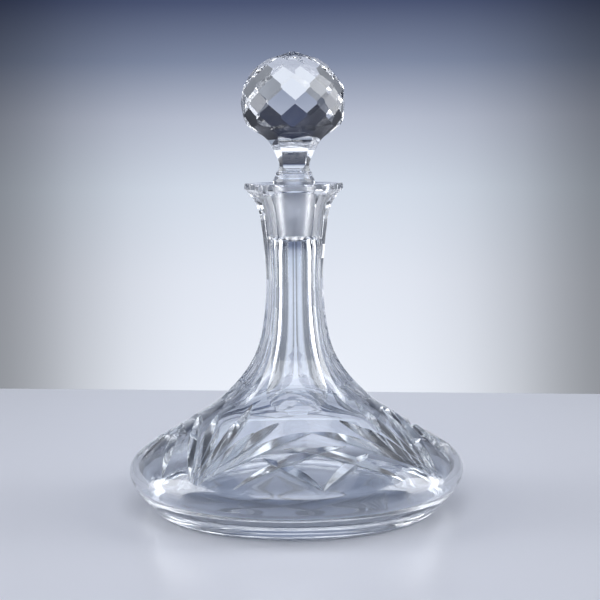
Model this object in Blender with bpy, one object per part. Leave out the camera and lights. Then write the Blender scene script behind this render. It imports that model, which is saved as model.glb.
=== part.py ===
"""Cut-crystal ship's decanter with a faceted ball stopper: two pieces of glass, in metres, +Z up.

The origin is the middle of the foot, on the table, and -Y is the front. The decanter is blown, then
cut on wheels: five flat flutes up the neck, and four times round the shoulder a fan of leaf cuts and a
crossed diamond. The stopper is solid, with a ball cut into rows of flats, a fluted shank and a ground
plug that sits in the neck.
"""

import math

import bmesh
import bpy
from mathutils import Vector

MM = 0.001

# --- The blown decanter, in millimetres. Lines are (radius, height).
LIP_R = 29.4
LIP_TOP = 187.0
LIP_UNDER = 183.6
NECK_KNOTS = [
    (25.8, 180.0),
    (21.3, 172.0),
    (19.2, 160.0),
    (17.0, 134.0),
    (18.4, 110.0),
    (22.1, 92.0),
    (29.4, 78.0),
    (43.9, 62.0),
    (58.4, 52.0),
    (76.0, 40.8),
    (90.2, 31.9),
]
RIM_KNOTS = [(95.7, 26.8), (97.5, 21.5), (95.8, 15.6), (89.6, 7.0), (83.4, 0.7)]
FOOT_R = 82.4
FOOT_RING_R = 75.0
HOLLOW_RISE = 1.6
CAVITY_KNOTS = [
    (11.4, 155.4),
    (12.0, 149.0),
    (12.2, 134.0),
    (12.7, 112.0),
    (14.9, 96.0),
    (20.6, 80.5),
    (31.5, 66.3),
    (51.4, 49.8),
    (70.6, 37.2),
    (84.8, 28.0),
    (90.2, 22.0),
    (88.4, 15.0),
    (80.0, 10.6),
]
FLOOR_R = 60.0
FLOOR_Z = 9.0

# --- The neck's flutes: a wheel's path, as (distance from the axis, height), that runs out on the shoulder
FLUTES = 5
FLUTE_TURN = math.radians(1.5)
LAND_HALF_ANGLE = math.radians(4.5)
FLUTE_RUN_OUT = [
    (21.45, 85.0),
    (25.3, 78.0),
    (30.0, 71.5),
    (37.5, 65.5),
    (46.5, 60.8),
    (75.0, 55.0),
    (150.0, 48.0),
]

# --- The shoulder's cuts
REPEATS = 4
FAN_AT = math.radians(-36.0)
FAN_ROOT_R = 94.2
MITRE_HALF_ANGLE = math.radians(60)
CUT_STATIONS = 6

# --- The stopper
BALL_Z = 233.0
BALL_FLAT_R = 29.0
BALL_SQUASH = 0.95
FLATS_ROUND = 11
ROW_STEP = math.radians(18.0)
FLAT_ROWS = (4, 3, 2, 1, 0, -1)
STOPPER_TURN = math.radians(3.0)
UNDER_KNOTS = [
    (25.4, 219.0),
    (21.5, 215.8),
    (16.2, 209.4),
    (12.6, 203.4),
    (10.8, 198.0),
    (10.4, 193.8),
]
SHANK_FLUTES = 4
SHANK_RUN_OUT = [
    (14.0, 191.0),
    (9.5, 193.7),
    (8.6, 195.6),
    (8.6, 198.5),
    (10.1, 202.5),
    (12.0, 206.5),
    (15.4, 212.0),
    (21.0, 216.0),
    (40.0, 219.0),
]
COLLAR = [(10.4, 191.8), (12.2, 188.2)]
PLUG = [(12.0, 186.0), (11.2, 175.0), (8.6, 157.4), (7.8, 156.6)]
GAP = 0.3

# --- How finely the round shapes are drawn here
BODY_STEPS = 60
STOPPER_STEPS = 40


def curve_through(knots, steps):
    """Points on a smooth curve through the knots, a centripetal Catmull-Rom spline."""
    ends = [
        tuple(2 * a - b for a, b in zip(knots[0], knots[1])),
        *knots,
        tuple(2 * a - b for a, b in zip(knots[-1], knots[-2])),
    ]
    points = []
    for span in zip(ends, ends[1:], ends[2:], ends[3:]):
        gaps = [math.dist(a, b) ** 0.5 for a, b in zip(span, span[1:])]
        for step in range(steps):
            points.append(tuple(spline_value(axis, gaps, step / steps) for axis in zip(*span)))
    return [*points, knots[-1]]


def spline_value(values, gaps, t):
    """One coordinate of the spline, a share t of the way from the second value to the third."""
    p0, p1, p2, p3 = values
    g0, g1, g2 = gaps
    m1 = (p2 - p1) + g1 * ((p1 - p0) / g0 - (p2 - p0) / (g0 + g1))
    m2 = (p2 - p1) + g1 * ((p3 - p2) / g2 - (p3 - p1) / (g1 + g2))
    a = 2 * (p1 - p2) + m1 + m2
    b = 3 * (p2 - p1) - 2 * m1 - m2
    return ((a * t + b) * t + m1) * t + p1


def outer_line(steps=2):
    """The outside of the blown decanter from under the lip to the foot."""
    return curve_through([(LIP_R, LIP_UNDER), *NECK_KNOTS, *RIM_KNOTS], steps)


def remove_old_objects():
    for obj in list(bpy.data.objects):
        bpy.data.objects.remove(obj)


def link(name, mesh, helper=False):
    obj = bpy.data.objects.new(name, mesh)
    bpy.context.scene.collection.objects.link(obj)
    if helper:
        obj.hide_render = True
        obj.display_type = "WIRE"
    return obj


def mesh_from(build, name):
    """A mesh from a bmesh, with doubles merged and its faces pointing out."""
    bmesh.ops.remove_doubles(build, verts=build.verts, dist=0.002 * MM)
    bmesh.ops.recalc_face_normals(build, faces=build.faces)
    mesh = bpy.data.meshes.new(name)
    build.to_mesh(mesh)
    build.free()
    return mesh


def turned(line, steps):
    """A bmesh turned from a line whose two ends are on the axis."""
    build = bmesh.new()
    verts = [build.verts.new((r * MM, 0, z * MM)) for r, z in line]
    edges = [build.edges.new(pair) for pair in zip(verts, verts[1:])]
    bmesh.ops.spin(
        build,
        geom=verts + edges,
        cent=(0, 0, 0),
        axis=(0, 0, 1),
        angle=2 * math.pi,
        steps=steps,
        use_merge=True,
    )
    return build


def lofted_mesh(rings, name):
    """A closed solid skinned over rings of points that all have the same number of corners."""
    build = bmesh.new()
    loops = [[build.verts.new(point) for point in ring] for ring in rings]
    for lower, upper in zip(loops, loops[1:]):
        for i in range(len(lower)):
            j = (i + 1) % len(lower)
            build.faces.new((lower[i], lower[j], upper[j], upper[i]))
    build.faces.new(loops[0])
    build.faces.new(loops[-1])
    return mesh_from(build, name)


def boolean(obj, cutter, operation="DIFFERENCE"):
    modifier = obj.modifiers.new(cutter.name, "BOOLEAN")
    modifier.operation = operation
    modifier.object = cutter


def crystal_material(name, tint):
    material = bpy.data.materials.new(name)
    material.use_nodes = True
    shader = material.node_tree.nodes["Principled BSDF"]
    shader.inputs["Base Color"].default_value = (*tint, 1)
    shader.inputs["Metallic"].default_value = 0
    shader.inputs["Roughness"].default_value = 0.02
    shader.inputs["IOR"].default_value = 1.545
    shader.inputs["Transmission Weight"].default_value = 1
    return material


def sleeve(name, sides, turn, path):
    """A many-sided sleeve, as wide at each height as the path says.

    Only what is inside it stays, so each of its sides cuts one flute.
    """
    corner_share = 1 / math.cos(math.pi / sides)
    first = turn - math.pi / 2 + math.pi / sides
    corners = [first + i * 2 * math.pi / sides for i in range(sides)]
    rings = []
    for flat, z in path:
        r = flat * corner_share
        rings.append([(r * math.cos(a) * MM, r * math.sin(a) * MM, z * MM) for a in corners])
    return link(name, lofted_mesh(rings, name), helper=True)


# --- The decanter


def body_line():
    """The wall's whole section, from the middle of the underside round to the middle of the floor."""
    underside = [(0, HOLLOW_RISE), (0.9 * FOOT_RING_R, HOLLOW_RISE), (FOOT_RING_R, 0), (FOOT_R, 0)]
    lip = [(LIP_R - 0.2, LIP_TOP - 0.4), (LIP_R - 0.8, LIP_TOP)]
    mouth = [(PLUG[0][0] + 1.6, LIP_TOP), (PLUG[0][0] + GAP + 0.1, LIP_TOP - 1.2)]
    seat = [(PLUG[1][0] + GAP, PLUG[1][1]), (PLUG[2][0] + GAP, PLUG[2][1])]
    cavity = curve_through(CAVITY_KNOTS, 1)
    floor = [(FLOOR_R, FLOOR_Z), (0, FLOOR_Z)]
    return [*underside, *reversed(outer_line()), *lip, *mouth, *seat, *cavity, *floor]


def neck_flute_path():
    """The neck's own line drawn in, down to where the flutes run out, from above the lip."""
    share = math.cos(math.pi / FLUTES - LAND_HALF_ANGLE)
    start = [(LIP_R * share, LIP_TOP + 5)]
    neck = [(r * share, z) for r, z in outer_line() if z > FLUTE_RUN_OUT[0][1] + 2]
    return [*start, *neck, *FLUTE_RUN_OUT, (150.0, -10.0)]


def shoulder_point(line, spot):
    """The point on the shoulder above a spot of the plan, and the surface's normal there."""
    radius = spot.length
    for (r0, z0), (r1, z1) in zip(line, line[1:]):
        if r0 <= radius <= r1:
            share = (radius - r0) / (r1 - r0)
            height = z0 + (z1 - z0) * share
            slope = Vector((z0 - z1, r1 - r0)).normalized()
            out = Vector((spot.x, spot.y, 0)) / radius
            return Vector((spot.x, spot.y, height)) * MM, out * slope.x + Vector((0, 0, slope.y))
    raise ValueError("the cut leaves the shoulder")


def plan(turn, radius):
    return Vector((radius * math.sin(turn), -radius * math.cos(turn)))


def leaf_cut(line, start, end, width):
    """The rings of a mitre wheel's cut between two spots of the plan: a V that is pointed at both ends."""
    rings = []
    along = (end - start).normalized()
    lift = 1.2 * MM
    for i in range(CUT_STATIONS + 1):
        share = i / CUT_STATIONS
        point, normal = shoulder_point(line, start.lerp(end, share))
        half = 0.5 * width * MM * math.sin(math.pi * (0.03 + 0.94 * share)) ** 0.85
        side = normal.cross(Vector((along.x, along.y, 0))).normalized()
        spread = half + lift * math.tan(MITRE_HALF_ANGLE)
        bottom = point - normal * half / math.tan(MITRE_HALF_ANGLE)
        rings.append([bottom, point + side * spread + normal * lift, point - side * spread + normal * lift])
    return rings


def cut_families():
    """The leaf cuts of one repeat, as (start, end, width), in families whose cuts never touch each other.

    The blades of a fan start a little apart from each other, as hand-cut ones do.
    """
    deg = math.radians
    families = {"fan_middle": [((0, FAN_ROOT_R), (0, 41.5), 9.0)]}
    for side, hand in (("right", 1), ("left", -1)):
        centre = hand * math.pi / REPEATS
        families["fan_short_" + side] = [((hand * deg(0.7), FAN_ROOT_R - 3.4), (hand * deg(12.5), 58.0), 7.0)]
        families["fan_long_" + side] = [((hand * deg(1.1), FAN_ROOT_R - 1.9), (hand * deg(25.5), 50.8), 8.6)]
        families["diamond_" + side] = [
            ((hand * deg(1.6), FAN_ROOT_R - 0.4), (centre, 57.2), 8.2),
            ((centre - hand * deg(29.5), 93.6), (centre + hand * deg(14.8), 67.6), 7.6),
            ((centre, 93.8), (centre + hand * deg(23.2), 74.0), 7.2),
        ]
    return families


def family_cutter(name, cuts):
    """One helper that holds a family's cuts, repeated round the shoulder."""
    line = outer_line()
    build = bmesh.new()
    for repeat in range(REPEATS):
        turn = FAN_AT + repeat * 2 * math.pi / REPEATS
        for (turn0, r0), (turn1, r1), width in cuts:
            rings = leaf_cut(line, plan(turn + turn0, r0), plan(turn + turn1, r1), width)
            cut = lofted_mesh(rings, name)
            build.from_mesh(cut)
            bpy.data.meshes.remove(cut)
    mesh = bpy.data.meshes.new(name)
    build.to_mesh(mesh)
    build.free()
    return link(name, mesh, helper=True)


def make_decanter():
    mesh = mesh_from(turned(body_line(), BODY_STEPS), "decanter_body")
    mesh.materials.append(crystal_material("decanter_crystal", (0.93, 0.95, 1.0)))
    body = link("decanter_body", mesh)
    boolean(body, sleeve("neck_flutes", FLUTES, FLUTE_TURN, neck_flute_path()), "INTERSECT")
    for name, cuts in cut_families().items():
        boolean(body, family_cutter(name, cuts))
    return body


# --- The stopper


def stopper_line():
    """The stopper's blank, from the top of the ball to the plug's end."""
    blank = BALL_FLAT_R / math.cos(ROW_STEP) + 0.4
    ball = []
    for step in range(13):
        turn = math.radians(90 - 10 * step)
        ball.append((blank * math.cos(turn), BALL_Z + BALL_SQUASH * blank * math.sin(turn)))
    return [(0, ball[0][1]), *ball[1:], *curve_through(UNDER_KNOTS, 2), *COLLAR, *PLUG, (0, PLUG[-1][1])]


def cut_flat(build, point, normal):
    """Grinds everything beyond a plane off a closed bmesh."""
    geom = [*build.verts, *build.edges, *build.faces]
    cut = bmesh.ops.bisect_plane(build, geom=geom, plane_co=point, plane_no=normal, clear_outer=True)
    rim = [item for item in cut["geom_cut"] if isinstance(item, bmesh.types.BMEdge)]
    bmesh.ops.edgeloop_fill(build, edges=rim)


def cut_ball_flats(build):
    """Rows of flats at even latitudes, each row turned half a flat from the last.

    The squash keeps the corners of the flats together.
    """
    half_flat = math.pi / FLATS_ROUND
    centre = Vector((0, 0, BALL_Z * MM))
    for row in FLAT_ROWS:
        latitude = row * ROW_STEP
        level = math.cos(latitude)
        for i in range(FLATS_ROUND):
            turn = STOPPER_TURN - math.pi / 2 + (2 * i + (row + 1) % 2) * half_flat
            flat = Vector((level * math.cos(turn), level * math.sin(turn), math.sin(latitude)))
            point = centre + BALL_FLAT_R * MM * Vector((flat.x, flat.y, flat.z * BALL_SQUASH))
            normal = Vector((flat.x, flat.y, flat.z / BALL_SQUASH)).normalized()
            cut_flat(build, point, normal)


def make_stopper():
    build = turned(stopper_line(), STOPPER_STEPS)
    bmesh.ops.remove_doubles(build, verts=build.verts, dist=0.002 * MM)
    bmesh.ops.recalc_face_normals(build, faces=build.faces)
    cut_ball_flats(build)
    mesh = mesh_from(build, "stopper")
    mesh.materials.append(crystal_material("stopper_crystal", (0.95, 0.96, 1.0)))
    stopper = link("stopper", mesh)
    path = [(14.0, 150.0), *SHANK_RUN_OUT, (40.0, 270.0)]
    boolean(stopper, sleeve("shank_flutes", SHANK_FLUTES, STOPPER_TURN, path), "INTERSECT")
    return stopper


remove_old_objects()
make_decanter()
make_stopper()
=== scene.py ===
# %% [markdown]
# # A cut-crystal ship's decanter
#
# A ship's decanter is blown low and wide so that it doesn't tip over at sea. It is one piece of lead
# crystal, thick at the rim, and its only loose part is a solid stopper ground to fit the neck. All of its
# sparkle is cut into it afterwards on turning wheels: flat flutes up the neck, fans and crossed diamonds
# round the shoulder, and rows of flats round the stopper's ball.
#
# The solids that carry the sizes are already packed. This script dresses them: it turns finer blanks on
# the same lines, cuts them as a glass cutter does, and gives them glass that bends light. The glass is
# drawn in millimetres and the studio round it in metres, and the front of the decanter faces -Y.

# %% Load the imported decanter
import math

import bmesh
import bpy
from mathutils import Matrix, Vector


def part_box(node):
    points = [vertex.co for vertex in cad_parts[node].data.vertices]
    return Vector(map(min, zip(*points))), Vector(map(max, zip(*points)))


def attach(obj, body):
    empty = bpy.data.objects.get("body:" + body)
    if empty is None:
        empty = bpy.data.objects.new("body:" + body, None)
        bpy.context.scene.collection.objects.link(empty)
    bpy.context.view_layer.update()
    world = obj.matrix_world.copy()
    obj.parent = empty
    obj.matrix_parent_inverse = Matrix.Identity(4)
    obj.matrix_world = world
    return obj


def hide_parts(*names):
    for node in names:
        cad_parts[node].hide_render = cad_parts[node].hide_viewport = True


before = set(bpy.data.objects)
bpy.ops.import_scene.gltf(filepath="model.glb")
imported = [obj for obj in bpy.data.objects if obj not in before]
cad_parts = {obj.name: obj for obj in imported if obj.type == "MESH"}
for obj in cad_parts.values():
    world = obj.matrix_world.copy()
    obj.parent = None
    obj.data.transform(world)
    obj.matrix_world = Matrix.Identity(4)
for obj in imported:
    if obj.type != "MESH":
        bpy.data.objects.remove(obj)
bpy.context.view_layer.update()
MM = 0.001
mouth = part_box("decanter_body")[1][2] / MM
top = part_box("stopper")[1][2] / MM
print(f"mouth at {mouth:.1f} mm, top of the stopper at {top:.1f} mm")

# %% [markdown]
# ## Smooth lines
#
# A blown or turned shape has no straight runs or corners that its maker didn't put there. A few measured
# radii are enough if a smooth curve is drawn through them. The centripetal Catmull-Rom spline is a good
# choice here, because it passes through every point and doesn't overshoot where two points are close
# together.

# %% A smooth line through a few points


def spline_value(values, gaps, t):
    p0, p1, p2, p3 = values
    g0, g1, g2 = gaps
    m1 = (p2 - p1) + g1 * ((p1 - p0) / g0 - (p2 - p0) / (g0 + g1))
    m2 = (p2 - p1) + g1 * ((p3 - p2) / g2 - (p3 - p1) / (g1 + g2))
    a = 2 * (p1 - p2) + m1 + m2
    b = 3 * (p2 - p1) - 2 * m1 - m2
    return ((a * t + b) * t + m1) * t + p1


def smooth_line(knots, steps):
    before = tuple(2 * a - b for a, b in zip(knots[0], knots[1]))
    after = tuple(2 * a - b for a, b in zip(knots[-1], knots[-2]))
    line = [before, *knots, after]
    points = []
    for span in zip(line, line[1:], line[2:], line[3:]):
        gaps = [math.dist(a, b) ** 0.5 for a, b in zip(span, span[1:])]
        for step in range(steps):
            points.append(tuple(spline_value(axis, gaps, step / steps) for axis in zip(*span)))
    return [*points, knots[-1]]


# %% [markdown]
# ## Turning
#
# The glass is blown in a mould and spun, so every section across it is round. In Blender that is the Spin
# operator: draw the wall's section once, as a chain of edges, and spin it about the axis. A full spin
# closes on itself when its seam is merged. Merging doubles closes the poles, and recalculating the
# normals turns every face outwards.

# %% Turn a section into a solid


def turn(section, steps):
    work = bmesh.new()
    verts = [work.verts.new((r * MM, 0, z * MM)) for r, z in section]
    edges = [work.edges.new(pair) for pair in zip(verts, verts[1:])]
    axis = dict(cent=(0, 0, 0), axis=(0, 0, 1), angle=2 * math.pi)
    bmesh.ops.spin(work, geom=verts + edges, steps=steps, use_merge=True, **axis)
    bmesh.ops.remove_doubles(work, verts=work.verts, dist=0.001 * MM)
    bmesh.ops.recalc_face_normals(work, faces=work.faces)
    return work


def finish_mesh(work, name):
    mesh = bpy.data.meshes.new(name)
    work.to_mesh(mesh)
    work.free()
    piece = bpy.data.objects.new(name, mesh)
    bpy.context.scene.collection.objects.link(piece)
    return piece


# %% [markdown]
# ## The crystal
#
# Lead crystal is clearer and heavier than window glass and bends light more, at an index of about 1.55.
# Four finishes show on a cut decanter. The blown skin is fire polished, and only a faint waviness gives
# it away. Flat flutes are polished nearly as clear. The leaves keep a fine grain from the wheel, which
# spreads the light a little. The plug and its seat are ground to a fit and left matt.
#
# All four are the same Principled glass with a light bump. The roughness, the tint and the grain differ,
# and the last two let a little less light through.

# %% Four finishes of the same glass

INDEX = 1.545


def crystal(name, tint, roughness, wave, wave_depth, clear=1.0):
    material = bpy.data.materials.new(name)
    material.use_nodes = True
    nodes, links = material.node_tree.nodes, material.node_tree.links
    shader = nodes["Principled BSDF"]
    shader.inputs["Base Color"].default_value = (*tint, 1)
    shader.inputs["Roughness"].default_value = roughness
    shader.inputs["IOR"].default_value = INDEX
    shader.inputs["Transmission Weight"].default_value = clear
    place = nodes.new("ShaderNodeTexCoord")
    noise = nodes.new("ShaderNodeTexNoise")
    noise.inputs["Scale"].default_value = wave
    noise.inputs["Detail"].default_value = 2
    bump = nodes.new("ShaderNodeBump")
    bump.inputs["Strength"].default_value = 1
    bump.inputs["Distance"].default_value = wave_depth * MM
    links.new(place.outputs["Object"], noise.inputs["Vector"])
    links.new(noise.outputs["Fac"], bump.inputs["Height"])
    links.new(bump.outputs["Normal"], shader.inputs["Normal"])
    return material


blown_skin = crystal("blown_skin", (0.935, 0.96, 1.0), 0.0, wave=55, wave_depth=0.05)
polished_flat = crystal("polished_flat", (0.935, 0.96, 1.0), 0.02, wave=900, wave_depth=0.01)
mitre_cut = crystal("mitre_cut", (0.87, 0.93, 1.0), 0.12, wave=900, wave_depth=0.02, clear=0.95)
ground = crystal("ground", (0.93, 0.95, 1.0), 0.40, wave=2500, wave_depth=0.02, clear=0.75)
print("finishes:", blown_skin.name, polished_flat.name, mitre_cut.name, ground.name)


def grind(piece, lowest, highest, widest):
    piece.data.materials.append(blown_skin)
    piece.data.materials.append(ground)
    for face in piece.data.polygons:
        x, y, z = face.center / MM
        if lowest < z < highest and math.hypot(x, y) < widest:
            face.material_index = 1


# %% [markdown]
# ## The blank of the decanter
#
# Before cutting, the decanter is a plain blown shape. Its section runs from the middle of the hollow
# under the foot, round the thick rim, up the straight shoulder and the waisted neck to the lip, and then
# down the inside, past the ground seat and along the bore to the floor. The blank's wall is 5 to 7 mm
# thick from the rim to the waist of the neck, because cutting needs thickness to cut into. The flutes
# leave a little over 2 mm of it at the waist.

# %% The section of the wall
LIP_R = 29.4
LIP_UNDER = 183.6
NECK_KNOTS = [
    (25.8, 180.0),
    (21.3, 172.0),
    (19.2, 160.0),
    (17.0, 134.0),
    (18.4, 110.0),
    (22.1, 92.0),
    (29.4, 78.0),
    (43.9, 62.0),
    (58.4, 52.0),
    (76.0, 40.8),
    (90.2, 31.9),
]
RIM_KNOTS = [(95.7, 26.8), (97.5, 21.5), (95.8, 15.6), (89.6, 7.0), (83.4, 0.7)]
outside = smooth_line([(LIP_R, LIP_UNDER), *NECK_KNOTS, *RIM_KNOTS], steps=6)
under_foot = [(0, 1.6), (40, 1.6), (67.5, 1.6), (72.0, 0.9), (75.0, 0), (82.4, 0), (83.0, 0.25)]
lip = [(29.3, 185.4), (29.1, 186.4), (28.7, 186.9), (28.1, 187.0)]
seat = [(13.8, 187.0), (12.9, 186.7), (12.35, 185.8), (11.5, 175.0), (8.9, 157.4)]
CAVITY_KNOTS = [
    (11.4, 155.4),
    (12.0, 149.0),
    (12.2, 134.0),
    (12.7, 112.0),
    (14.9, 96.0),
    (20.6, 80.5),
    (31.5, 66.3),
    (51.4, 49.8),
    (70.6, 37.2),
    (84.8, 28.0),
    (90.2, 22.0),
    (88.4, 15.0),
    (80.0, 10.6),
    (60.0, 9.0),
]
inside = smooth_line(CAVITY_KNOTS, steps=6)
section = [*under_foot, *reversed(outside), *lip, *seat, *inside, (30, 9.0), (0, 9.0)]
widest = max(r for r, z in section)
print(f"the section has {len(section)} points and the glass is {widest:.1f} mm in radius")

# %% [markdown]
# ## The blank
#
# The section is spun in 144 steps, which is fine enough that no corner shows on the rim. Grinding comes
# before the cutting here, because the cone of the seat is easy to pick out while the blank is still
# plain: its faces are the only ones that lie between the plug's two ends and close to the axis.

# %% Turn the blank
decanter = finish_mesh(turn(section, steps=144), "cut_crystal_decanter")
grind(decanter, 157.4, 185.8, 13)
print(f"blank: {len(decanter.data.polygons)} faces")

# %% [markdown]
# ## Cutting
#
# A cutter presses the glass against a wheel, and what the wheel passes through is gone. The Boolean
# modifier does the same, so each cut is made as the shape that the wheel sweeps. A cut's faces take the
# tool's own material, so every cut gets its finish without any masks.

# %% Cut with a swept shape


def cut(piece, tool, finish, operation="DIFFERENCE"):
    tool.data.materials.append(finish)
    modifier = piece.modifiers.new(tool.name, "BOOLEAN")
    modifier.operation = operation
    modifier.object = tool
    modifier.material_mode = "TRANSFER"
    bpy.context.view_layer.update()
    graph = bpy.context.evaluated_depsgraph_get()
    baked = bpy.data.meshes.new_from_object(piece.evaluated_get(graph))
    piece.modifiers.clear()
    piece.data = baked
    bpy.data.objects.remove(tool)
    print(f"{finish.name}: {len(baked.polygons)} faces after the cut")


# %% [markdown]
# ## Flutes
#
# The neck has five long flat flutes, and a narrow strip of the round neck is left between two of them.
# Those strips catch the lights at the sides. A flute is cut on the flat of a broad wheel that follows the
# neck's own curve, then runs out where the neck spreads into the shoulder.
#
# Keeping only what is inside a five-sided sleeve cuts all five at once. The sleeve starts as a plain
# five-sided prism. Its upright edges are divided into even sections, and each section is then moved to
# its own width and height.

# %% A prism in even sections


def prism(work, sides, sections):
    first = len(work.verts)
    made = bmesh.ops.create_cone(work, cap_ends=True, segments=sides, radius1=1, radius2=1, depth=1)
    low = [vert for vert in made["verts"] if vert.co.z < 0]
    upright = [edge for vert in low for edge in vert.link_edges if edge.other_vert(vert).co.z > 0]
    bmesh.ops.subdivide_edges(work, edges=upright, cuts=sections - 1)
    work.verts.ensure_lookup_table()
    return [(vert, round((vert.co.z + 0.5) * sections)) for vert in work.verts[first:]]


def sleeve(name, sides, turned, path):
    work = bmesh.new()
    corner = 1 / math.cos(math.pi / sides)
    flat_to_front = Matrix.Rotation(turned + math.pi / sides - math.pi, 3, "Z")
    for vert, section_at in prism(work, sides, len(path) - 1):
        flat, z = path[section_at]
        across = flat_to_front @ vert.co.xy.to_3d()
        vert.co = (across * flat * corner + Vector((0, 0, z))) * MM
    bmesh.ops.recalc_face_normals(work, faces=work.faces)
    return finish_mesh(work, name)


# %% [markdown]
# ## The five flutes
#
# Along the neck the sleeve is as wide at each height as the neck's own radius times a fixed share. That
# share is the cosine of half the angle that a flute spans, so the strips between the flutes stay nine
# degrees wide. Below the neck the sleeve opens faster than the shoulder does, and there the flutes fade
# out.

# %% Five flutes up the neck
FLUTES = 5
FLUTE_TURN = math.radians(1.5)
LAND_HALF_ANGLE = math.radians(4.5)
FLUTE_RUN_OUT = [(21.45, 85.0), (25.3, 78.0), (30.0, 71.5), (37.5, 65.5), (46.5, 60.8), (75.0, 55.0)]
drawn_in = math.cos(math.pi / FLUTES - LAND_HALF_ANGLE)
along_neck = [(r * drawn_in, z) for r, z in outside if z > 87]
run_out = smooth_line(FLUTE_RUN_OUT, steps=5)
flute_path = [(29.8 * drawn_in, 192.0), *along_neck, *run_out, (150, 48), (150, -10)]
flute_wheel = sleeve("flute_wheel", FLUTES, FLUTE_TURN, flute_path)
cut(decanter, flute_wheel, polished_flat, "INTERSECT")

# %% [markdown]
# ## Leaf cuts
#
# The fans and diamonds are made of leaves. A mitre wheel has a V for an edge, so it leaves a V groove,
# and where it enters and leaves the glass the groove narrows to a point. A leaf is therefore a V whose
# depth swells and dies along its length, laid on the shoulder from one spot to another. The tool is a
# three-sided prism in many sections, and each section is stood square to the shoulder's own surface with
# its sharp edge down in the glass.

# %% Where the shoulder is


def on_shoulder(spot):
    radius = spot.length
    for (r0, z0), (r1, z1) in zip(outside, outside[1:]):
        if r0 <= radius <= r1:
            height = z0 + (z1 - z0) * (radius - r0) / (r1 - r0)
            slope = Vector((z0 - z1, r1 - r0)).normalized()
            out = Vector((spot.x, spot.y, 0)) / radius
            return Vector((spot.x, spot.y, height)), out * slope.x + Vector((0, 0, slope.y))


def plan(turned, radius):
    return Vector((radius * math.sin(turned), -radius * math.cos(turned)))


# %% [markdown]
# ## One leaf
#
# The width follows a sine along the cut. The distance is raised to a power first, which shifts the widest
# place: 1.5 moves it past the middle, towards the tip, as on the fans, and 1.0 leaves it in the middle,
# as on the cuts that cross. A power under 1 on the sine makes the leaf a little fuller, and stopping just
# short of the sine's two ends keeps the tool from shrinking to nothing there. The tool stands 1.5 mm
# proud of the glass, so its top never lies in the surface that it cuts.

# %% One leaf
MITRE_HALF_ANGLE = math.radians(60)
STATIONS = 18
PROUD = 1.5
FULLNESS = 0.85
END_SHARE = 0.02


def leaf(work, start, end, width, belly):
    along = (end - start).normalized().to_3d()
    for vert, station in prism(work, 3, STATIONS):
        share = station / STATIONS
        point, up = on_shoulder(start.lerp(end, share))
        inset = END_SHARE + (1 - 2 * END_SHARE) * share
        half = 0.5 * width * math.sin(math.pi * inset**belly) ** FULLNESS
        if vert.co.y > 0.5:
            vert.co = (point - up * half / math.tan(MITRE_HALF_ANGLE)) * MM
        else:
            reach = math.copysign(half + PROUD * math.tan(MITRE_HALF_ANGLE), vert.co.x)
            side = up.cross(along).normalized() * reach
            vert.co = (point + up * PROUD + side) * MM


# %% [markdown]
# ## The pattern
#
# The pattern repeats four times. In each repeat a fan of leaves opens upwards from one root on the rim: a
# long one in the middle, a short pair beside it, and a longer pair outside. The outermost leaves of two
# fans meet in a peak, and under the peak two more pairs of leaves cross to make the diamond. Leaves that
# touch go in different groups, and one group is cut after another, because a Boolean tool must not run
# into itself.

# %% Cut the fans and the diamonds
REPEATS = 4
FAN_AT = math.radians(-36.0)
FAN_ROOT_R = 94.2


def leaf_groups(side):
    deg = math.radians(side)
    centre = side * math.pi / REPEATS
    short = [((0.7 * deg, FAN_ROOT_R - 3.4), (12.5 * deg, 58.0), 7.0, 1.5)]
    long = [((1.1 * deg, FAN_ROOT_R - 1.9), (25.5 * deg, 50.8), 8.6, 1.5)]
    diamond = [
        ((1.6 * deg, FAN_ROOT_R - 0.4), (centre, 57.2), 8.2, 1.2),
        ((centre - 29.5 * deg, 93.6), (centre + 14.8 * deg, 67.6), 7.6, 1.0),
        ((centre, 93.8), (centre + 23.2 * deg, 74.0), 7.2, 1.0),
    ]
    return [short, long, diamond]


middle = [((0, FAN_ROOT_R), (0, 41.5), 9.0, 1.5)]
groups = [middle, *leaf_groups(1), *leaf_groups(-1)]
for group in groups:
    work = bmesh.new()
    for repeat in range(REPEATS):
        turned = FAN_AT + repeat * 2 * math.pi / REPEATS
        for (turn_0, r_0), (turn_1, r_1), width, belly in group:
            leaf(work, plan(turned + turn_0, r_0), plan(turned + turn_1, r_1), width, belly)
    bmesh.ops.recalc_face_normals(work, faces=work.faces)
    cut(decanter, finish_mesh(work, "mitre_wheel"), mitre_cut)
print(f"leaves: {REPEATS * sum(len(group) for group in groups)}")

# %% [markdown]
# ## Smooth skin, crisp cuts
#
# The blown skin has to look round and the cuts have to look sharp. Smooth shading with sharp edges marked
# by angle gives both. The steps of the turned skin are a few degrees, and the sides of a leaf stand at
# thirty degrees to the skin. Only the ends of the flutes, where they fade out, are flat enough to be
# smoothed over.

# %% Smooth the blown skin and keep the cuts crisp


def crisp(piece, angle):
    piece.data.shade_smooth()
    piece.data.set_sharp_from_angle(angle=math.radians(angle))


crisp(decanter, 22)
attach(decanter, "decanter")
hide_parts("decanter_body")
print("decanter:", len(decanter.data.vertices), "points")

# %% [markdown]
# ## The stopper
#
# The stopper is solid. Its blank is turned like the decanter's: a ball on a waisted shank, a small
# collar, and a plug ground to a taper. The ball is then held against a flat wheel sixty-six times, in six
# rows of eleven. Each row is turned half a flat from the one before, so the flats close up into diamonds
# and no round glass is left between. The Bisect operator grinds one flat at a time, and filling its rim
# closes the glass again.

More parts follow.
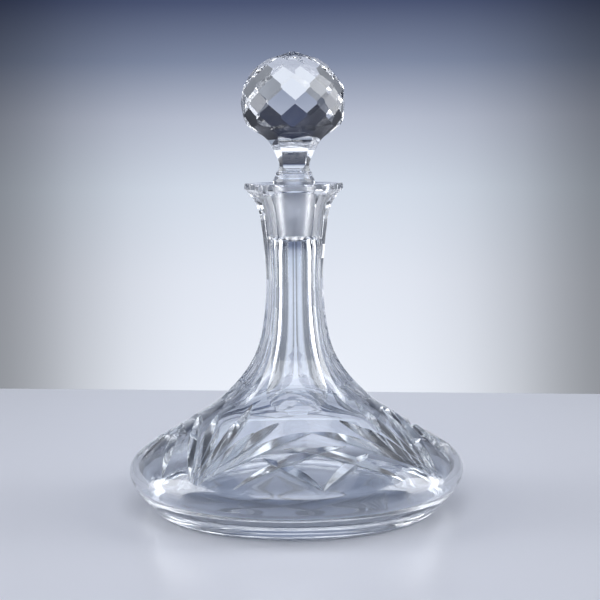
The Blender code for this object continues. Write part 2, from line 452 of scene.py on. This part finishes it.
# %% Turn the stopper's blank
BALL_Z = 233.0
BALL_FLAT_R = 29.0
BALL_SQUASH = 0.95
FLATS_ROUND = 11
ROW_STEP = math.radians(18.0)
blank_r = BALL_FLAT_R / math.cos(ROW_STEP) + 0.4
UNDER_KNOTS = [(25.4, 219.0), (21.5, 215.8), (16.2, 209.4), (12.6, 203.4), (10.8, 198.0), (10.4, 193.8)]
COLLAR = [(10.3, 192.7), (10.6, 191.6), (11.9, 188.8), (12.1, 188.2), (12.1, 187.6), (12.0, 186.8)]
PLUG = [(11.95, 186.0), (11.2, 175.0), (8.6, 157.4), (8.45, 156.95), (7.9, 156.6)]
angles = [math.radians(90 - 3 * step) for step in range(1, 39)]
ball = [(blank_r * math.cos(a), BALL_Z + BALL_SQUASH * blank_r * math.sin(a)) for a in angles]
under = smooth_line(UNDER_KNOTS, 6)
blank_line = [(0, BALL_Z + BALL_SQUASH * blank_r), *ball, *under, *COLLAR, *PLUG, (0, 156.6)]
work = turn(blank_line, steps=120)
print(f"stopper blank: {len(work.faces)} faces")

# %% [markdown]
# ## Sixty-six flats
#
# Eleven is an odd number, so behind every flat lies an edge instead of a parallel flat, and that breaks
# up the tones. The ball is squashed by a twentieth. Each flat's plane is squashed with it, which keeps
# the corners together.

# %% Grind the rows of flats
STOPPER_TURN = math.radians(3.0)


def grind_flat(work, point, outwards):
    geom = [*work.verts, *work.edges, *work.faces]
    sliced = bmesh.ops.bisect_plane(work, geom=geom, plane_co=point, plane_no=outwards, clear_outer=True)
    rim = [item for item in sliced["geom_cut"] if isinstance(item, bmesh.types.BMEdge)]
    bmesh.ops.edgeloop_fill(work, edges=rim)


for row in (4, 3, 2, 1, 0, -1):
    latitude = row * ROW_STEP
    for place in range(FLATS_ROUND):
        turned = STOPPER_TURN - math.pi / 2 + (2 * place + (row + 1) % 2) * math.pi / FLATS_ROUND
        level = math.cos(latitude)
        facing = Vector((level * math.cos(turned), level * math.sin(turned), math.sin(latitude)))
        squashed = Vector((facing.x, facing.y, facing.z * BALL_SQUASH))
        outwards = Vector((facing.x, facing.y, facing.z / BALL_SQUASH)).normalized()
        grind_flat(work, (Vector((0, 0, BALL_Z)) + BALL_FLAT_R * squashed) * MM, outwards)
bmesh.ops.remove_doubles(work, verts=work.verts, dist=0.001 * MM)
bmesh.ops.recalc_face_normals(work, faces=work.faces)
print(f"after grinding: {len(work.faces)} faces")

# %% [markdown]
# ## The shank
#
# Four flutes square off the shank under the ball, flat across and hollow along. The same sleeve as on the
# neck cuts them, with four sides. It pinches in above the collar, where it leaves a small step, and opens
# out again under the ball.

# %% Flute the shank
stopper = finish_mesh(work, "faceted_stopper")
grind(stopper, 157.4, 186.0, 13)
SHANK_FLUTES = 4
SHANK_RUN_OUT = [
    (14.0, 191.0),
    (9.5, 193.7),
    (8.6, 195.6),
    (8.6, 198.5),
    (10.1, 202.5),
    (12.0, 206.5),
    (15.4, 212.0),
    (21.0, 216.0),
    (40.0, 219.0),
]
shank_path = [(14.0, 150.0), *smooth_line(SHANK_RUN_OUT, 5), (40.0, 270.0)]
shank_wheel = sleeve("shank_wheel", SHANK_FLUTES, STOPPER_TURN, shank_path)
cut(stopper, shank_wheel, polished_flat, "INTERSECT")
crisp(stopper, 14)
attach(stopper, "stopper")
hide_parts("stopper")
print("stopper:", len(stopper.data.vertices), "points")

# %% [markdown]
# ## The table and the light
#
# Clear glass has no look of its own. It shows what is round it, bent and squeezed, so the light is most
# of the picture. The table is plain and pale. It ends a little behind the decanter, and its far edge
# crosses behind the shoulder. A grid of one face is enough for it.

# %% The table
TABLE_BACK = 0.366
TABLE_TURN = math.radians(-5.7)
TABLE_HALF_WIDE, TABLE_HALF_DEEP = 1.05, 0.7
UNDER_THE_FOOT = -0.0002
work = bmesh.new()
bmesh.ops.create_grid(work, x_segments=1, y_segments=1, size=1)
bmesh.ops.scale(work, verts=work.verts, vec=(TABLE_HALF_WIDE, TABLE_HALF_DEEP, 1))
middle_of_table = (0, TABLE_BACK - TABLE_HALF_DEEP, UNDER_THE_FOOT)
bmesh.ops.translate(work, verts=work.verts, vec=middle_of_table)
turn_table = Matrix.Rotation(TABLE_TURN, 3, "Z")
bmesh.ops.rotate(work, verts=work.verts, cent=(0, TABLE_BACK, 0), matrix=turn_table)
table = finish_mesh(work, "table")
table_top = bpy.data.materials.new("pale_table_top")
table_top.use_nodes = True
satin = table_top.node_tree.nodes["Principled BSDF"]
satin.inputs["Base Color"].default_value = (0.70, 0.72, 0.79, 1)
satin.inputs["Roughness"].default_value = 0.28
table.data.materials.append(table_top)
print(f"the table ends {TABLE_BACK * 1000:.0f} mm behind the decanter")

# %% [markdown]
# ## The backdrop
#
# A curved sheet of paper stands all the way round the table, because glass shows what is beside and
# behind the camera as well. It is an open cylinder with its faces turned inwards.

# %% The backdrop's paper
BACKDROP_R = 1.2
BACKDROP_TALL = 2.0
BACKDROP_MIDDLE = 0.35
work = bmesh.new()
both = dict(radius1=BACKDROP_R, radius2=BACKDROP_R)
bmesh.ops.create_cone(work, cap_ends=False, segments=96, depth=BACKDROP_TALL, **both)
bmesh.ops.translate(work, verts=work.verts, vec=(0, 0, BACKDROP_MIDDLE))
bmesh.ops.reverse_faces(work, faces=work.faces)
backdrop = finish_mesh(work, "backdrop")
backdrop.data.shade_smooth()
print(f"backdrop: {BACKDROP_R * 2:.1f} m across")

# %% [markdown]
# ## Light painted on the paper
#
# The paper glows by itself, and the light and shade on it are painted into that glow. It is near white
# low down behind the decanter and falls to a painted dark blue shade above. The solid ball turns the room
# over, so its lower flats show the dark part. The painted light also fades to both sides, which darkens
# the edges of round glass. A colour ramp on the height gives the first, and a smooth step on how far back
# the paper is gives the second.

# %% The backdrop's painted light, by height and by how far round it is
WHITE_AT, DARK_AT = -0.15, 0.65
FADE_FROM, FADE_TO = 0.935, 1.0
SIDE_STRENGTH, BACK_STRENGTH = 0.36, 1.02
# The paper glows by itself, so this is painted light: bright low down, with painted shade above and at
# the sides.
paper = bpy.data.materials.new("paper_with_painted_light")
paper.use_nodes = True
nodes, links = paper.node_tree.nodes, paper.node_tree.links
nodes.remove(nodes["Principled BSDF"])
glow = nodes.new("ShaderNodeEmission")
place = nodes.new("ShaderNodeTexCoord")
split = nodes.new("ShaderNodeSeparateXYZ")
links.new(place.outputs["Object"], split.inputs["Vector"])
by_height = nodes.new("ShaderNodeValToRGB")
height_share = nodes.new("ShaderNodeMapRange")
height_share.inputs["From Min"].default_value = WHITE_AT
height_share.inputs["From Max"].default_value = DARK_AT
links.new(split.outputs["Z"], height_share.inputs["Value"])
links.new(height_share.outputs["Result"], by_height.inputs["Fac"])
# Painted light on the paper, from near white low down to a painted dark shade at the top.
PAINTED_LIGHT_TONES = [
    (0.0, (0.82, 0.86, 0.94)),
    (0.20, (0.75, 0.79, 0.88)),
    (0.36, (0.64, 0.70, 0.80)),
    (0.48, (0.47, 0.51, 0.62)),
    (0.58, (0.21, 0.25, 0.36)),
    (0.68, (0.07, 0.09, 0.17)),
    (0.85, (0.02, 0.025, 0.05)),
]
ramp = by_height.color_ramp
for position, tone in PAINTED_LIGHT_TONES[1:-1]:
    ramp.elements.new(position)
for element, (position, tone) in zip(ramp.elements, PAINTED_LIGHT_TONES):
    element.position = position
    element.color = (*tone, 1)
by_turn = nodes.new("ShaderNodeMapRange")
by_turn.interpolation_type = "SMOOTHSTEP"
by_turn.inputs["From Min"].default_value = FADE_FROM * BACKDROP_R
by_turn.inputs["From Max"].default_value = FADE_TO * BACKDROP_R
by_turn.inputs["To Min"].default_value = SIDE_STRENGTH
by_turn.inputs["To Max"].default_value = BACK_STRENGTH
links.new(split.outputs["Y"], by_turn.inputs["Value"])
links.new(by_height.outputs["Color"], glow.inputs["Color"])
links.new(by_turn.outputs["Result"], glow.inputs["Strength"])
links.new(glow.outputs["Emission"], nodes["Material Output"].inputs["Surface"])
backdrop.data.materials.append(paper)
print(f"paper: {len(PAINTED_LIGHT_TONES)} tones from the floor up")

# %% [markdown]
# ## The room
#
# Over the top of the paper there is only a dim ceiling, which gives the glass something soft to show
# where it looks upwards. The plain view transform keeps the paper white.

# %% The dim room above
world = bpy.data.worlds.new("studio")
bpy.context.scene.world = world
world.use_nodes = True
world.node_tree.nodes["Background"].inputs["Color"].default_value = (0.30, 0.34, 0.42, 1)
bpy.context.scene.view_settings.view_transform = "Standard"
print("world:", world.name)

# %% [markdown]
# ## Light's way through the glass
#
# A ray can bounce many times between the cuts before it finds its way out. It goes black when it runs out
# of bounces, so the limits are high here.

# %% Let light run through the glass
paths = bpy.context.scene.cycles
paths.max_bounces = 48
paths.transmission_bounces = 48
paths.glossy_bounces = 32
print("bounces:", paths.max_bounces)

# %% [markdown]
# ## Soft lights
#
# A tall soft light stands at each side, a little behind the decanter, for the strips of the neck and the
# turn of the rim. A weak one hangs above, and one in front lights the table and the matt parts of the
# glass.

# %% Light the sides, the top and the front


def soft_light(name, at, aim, width, height, power):
    lamp = bpy.data.lights.new(name, "AREA")
    lamp.shape = "RECTANGLE"
    lamp.size, lamp.size_y = width, height
    lamp.energy = power
    stand = bpy.data.objects.new(name, lamp)
    bpy.context.scene.collection.objects.link(stand)
    aimed = (Vector(aim) - Vector(at)).to_track_quat("-Z", "Y").to_matrix().to_4x4()
    stand.matrix_world = Matrix.Translation(at) @ aimed
    print(f"{name}: {power} W")


soft_light("left_light", (-1.0, 0.1, 0.45), (0, 0, 0.1), 0.7, 1.1, 9)
soft_light("right_light", (1.0, 0.1, 0.45), (0, 0, 0.1), 0.7, 1.1, 9)
soft_light("top_light", (0, -0.1, 1.3), (0, 0, 0), 1.0, 1.0, 3)
soft_light("front_light", (0, -1.0, 1.1), (0, 0, 0), 1.4, 0.8, 8)

# %% [markdown]
# ## The camera
#
# The camera stands as high as the stopper and looks slightly down through a long lens, which keeps the
# upright lines nearly upright.

# %% The camera
EYE_HEIGHT = 0.2163
EYE_AWAY = 0.8365
EYE_DOWN = math.radians(6.61)
EYE_ROLL = math.radians(0.5)
EYE_ACROSS = 0.0029
LENS_MM = 87.06
camera = bpy.data.objects.new("camera", bpy.data.cameras.new("camera"))
bpy.context.scene.collection.objects.link(camera)
camera.data.lens = LENS_MM
camera.data.sensor_width = 36
tilt = Matrix.Rotation(math.pi / 2 - EYE_DOWN, 4, "X") @ Matrix.Rotation(-EYE_ROLL, 4, "Z")
camera.matrix_world = Matrix.Translation((EYE_ACROSS, -EYE_AWAY, EYE_HEIGHT)) @ tilt
bpy.context.scene.camera = camera
print(f"camera: {camera.data.lens:.0f} mm lens, {EYE_AWAY * 1000:.0f} mm away")
